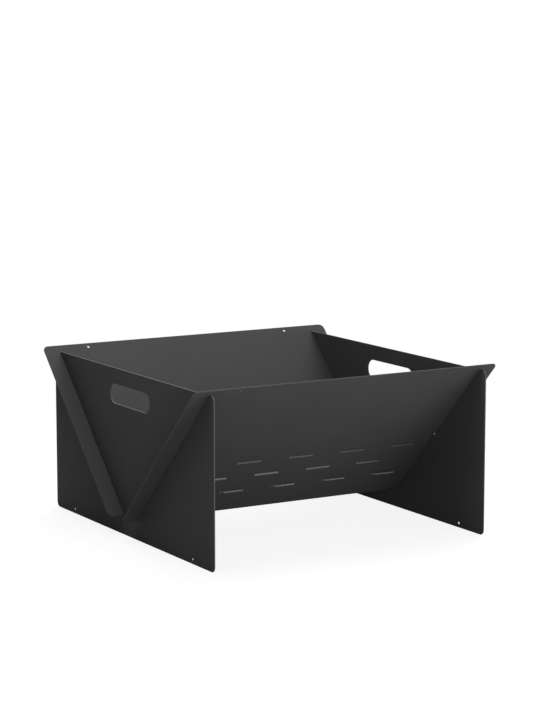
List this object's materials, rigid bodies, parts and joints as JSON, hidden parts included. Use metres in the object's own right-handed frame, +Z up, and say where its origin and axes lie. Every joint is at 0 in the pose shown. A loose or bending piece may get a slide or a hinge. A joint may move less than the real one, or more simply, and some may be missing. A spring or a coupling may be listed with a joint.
{
  "type": "outdoor fireplace",
  "caption": "Slot-together fire pit of matt black sheet steel: two upright end panels with hand holes, two vented panels leaning out to form a trough, and a tabbed bed plate.",
  "frame": {"origin": "on the ground below the middle of the trough", "axes": "+X along the trough towards the right end panel, +Y towards the rear panel, +Z up"},
  "size_m": [0.6, 0.6, 0.3019],
  "materials": {
    "end_panel_coating": "matt black powder coating",
    "long_panel_coating": "matt black powder coating",
    "bed_plate_coating": "matt black powder coating"
  },
  "bodies": {
    "end_panels": {"left_end_panel": "end_panel_coating", "right_end_panel": "end_panel_coating"},
    "front_wall": {"front_panel": "long_panel_coating"},
    "rear_wall": {"rear_panel": "long_panel_coating"},
    "fire_bed": {"bed_plate": "bed_plate_coating"}
  },
  "joints": [
    {"name": "front_panel_slide", "type": "slide", "parent": "end_panels", "child": "front_wall", "axis": [0, -0.7071, 0.7071], "range_m": [0, 0.185]},
    {"name": "rear_panel_slide", "type": "slide", "parent": "end_panels", "child": "rear_wall", "axis": [0, 0.7071, 0.7071], "range_m": [0, 0.185]},
    {"name": "bed_plate_lift", "type": "slide", "parent": "end_panels", "child": "fire_bed", "axis": [0, 0, 1], "range_m": [0, 0.1309]}
  ],
  "couplings": [
    {"joint": "rear_panel_slide", "follows": "front_panel_slide", "ratio": 1},
    {"joint": "bed_plate_lift", "follows": "front_panel_slide", "ratio": 0.70711}
  ]
}
